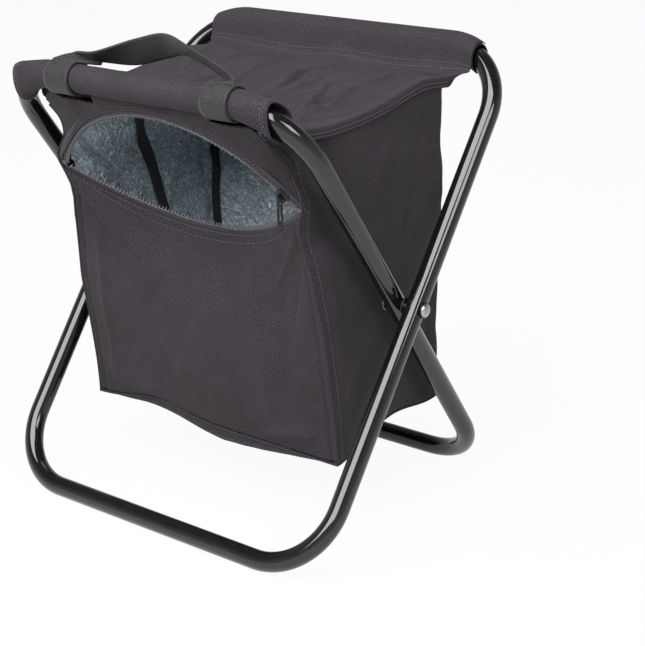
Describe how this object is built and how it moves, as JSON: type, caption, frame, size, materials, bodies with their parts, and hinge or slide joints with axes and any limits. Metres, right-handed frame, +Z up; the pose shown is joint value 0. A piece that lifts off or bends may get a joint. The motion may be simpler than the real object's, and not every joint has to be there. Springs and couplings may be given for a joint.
{
  "type": "folding cooler stool",
  "caption": "Folding stool with crossed bent-tube frames, a cloth sling seat and an insulated zip-top cooler bag hung under the seat, with a webbing carry handle.",
  "frame": {"origin": "on the floor, midway between the two bars that stand on it and in the middle of the width", "axes": "+Z up; +Y from the zip side towards the back bar; +X along the bars, to the right as the zip side is faced"},
  "size_m": [0.355, 0.281, 0.4027],
  "materials": {
    "frame_tube": "gloss black powder coat",
    "plated_steel": "bright zinc plate",
    "black_nylon": "moulded, satin",
    "bag_cloth": "plain-weave polyester, matt",
    "foil_lining": "crinkled metallised film on foam",
    "binding_tape": "woven tape, matt",
    "zip_plastic": "coil zip, satin",
    "zip_metal": "black enamel",
    "webbing": "woven webbing, matt"
  },
  "bodies": {
    "outer_frame": {"outer_frame_tube": "frame_tube", "outer_frame_joiner": "plated_steel", "pivot_rivet_left": "plated_steel", "pivot_rivet_right": "plated_steel", "head_washer_left": "black_nylon", "head_washer_right": "black_nylon", "pivot_spacer_left": "black_nylon", "pivot_spacer_right": "black_nylon", "tail_washer_left": "plated_steel", "tail_washer_right": "plated_steel", "rear_sleeve": "bag_cloth"},
    "inner_frame": {"inner_frame_tube": "frame_tube", "inner_frame_joiner": "plated_steel", "front_sleeve": "bag_cloth"},
    "bag": {"seat_panel": "bag_cloth", "back_panel": "bag_cloth", "side_panel_left": "bag_cloth", "side_panel_right": "bag_cloth", "bottom_panel": "bag_cloth", "liner_top": "foil_lining", "liner_back": "foil_lining", "liner_left": "foil_lining", "liner_right": "foil_lining", "liner_bottom": "foil_lining", "binding_back_left": "binding_tape", "binding_back_right": "binding_tape", "binding_side_left": "binding_tape", "binding_side_right": "binding_tape"},
    "bag_front": {"front_strip": "bag_cloth", "front_panel": "bag_cloth", "liner_front": "foil_lining", "zip_tape_upper": "binding_tape", "zip_tape_lower": "binding_tape", "zip_chain_upper": "zip_plastic", "zip_chain_lower": "zip_plastic", "zip_stop_left": "zip_plastic", "zip_stop_right": "zip_plastic"},
    "handle": {"carry_handle": "webbing"},
    "slider": {"zip_slider": "zip_metal"},
    "pull": {"zip_pull": "zip_metal"}
  },
  "joints": [
    {"name": "fold", "type": "hinge", "parent": "outer_frame", "child": "inner_frame", "pos_m": [0, 0, 0.18825], "axis": [-1, 0, 0], "range_deg": [0, 62], "deforming": ["seat_panel", "back_panel", "side_panel_left", "side_panel_right", "bottom_panel", "liner_top", "liner_back", "liner_left", "liner_right", "liner_bottom", "binding_back_left", "binding_back_right", "binding_side_left", "binding_side_right", "front_strip", "front_panel", "liner_front", "zip_tape_upper", "zip_tape_lower", "zip_chain_upper", "zip_chain_lower", "zip_stop_left", "zip_stop_right"]},
    {"name": "bag_swing", "type": "hinge", "parent": "outer_frame", "child": "bag", "pos_m": [0, 0.13037, 0.36769], "axis": [-1, 0, 0], "range_deg": [0, 31]},
    {"name": "bag_front_swing", "type": "hinge", "parent": "inner_frame", "child": "bag_front", "pos_m": [0, -0.12596, 0.36162], "axis": [-1, 0, 0], "range_deg": [-31, 0]},
    {"name": "handle_turn", "type": "hinge", "parent": "bag_front", "child": "handle", "pos_m": [0, -0.12596, 0.36162], "axis": [1, 0, 0], "range_deg": [0, 190]},
    {"name": "zip_run", "type": "hinge", "parent": "bag_front", "child": "slider", "pos_m": [0, -0.05257, 0.20691], "axis": [0, -0.8974, -0.4411], "range_deg": [0, 100]},
    {"name": "pull_swing", "type": "hinge", "parent": "slider", "child": "pull", "pos_m": [0.112, -0.09743, 0.28934], "axis": [-1, 0, 0], "range_deg": [0, 140]}
  ],
  "couplings": [
    {"joint": "bag_swing", "follows": "fold", "ratio": 0.5},
    {"joint": "bag_front_swing", "follows": "fold", "ratio": -0.5}
  ]
}
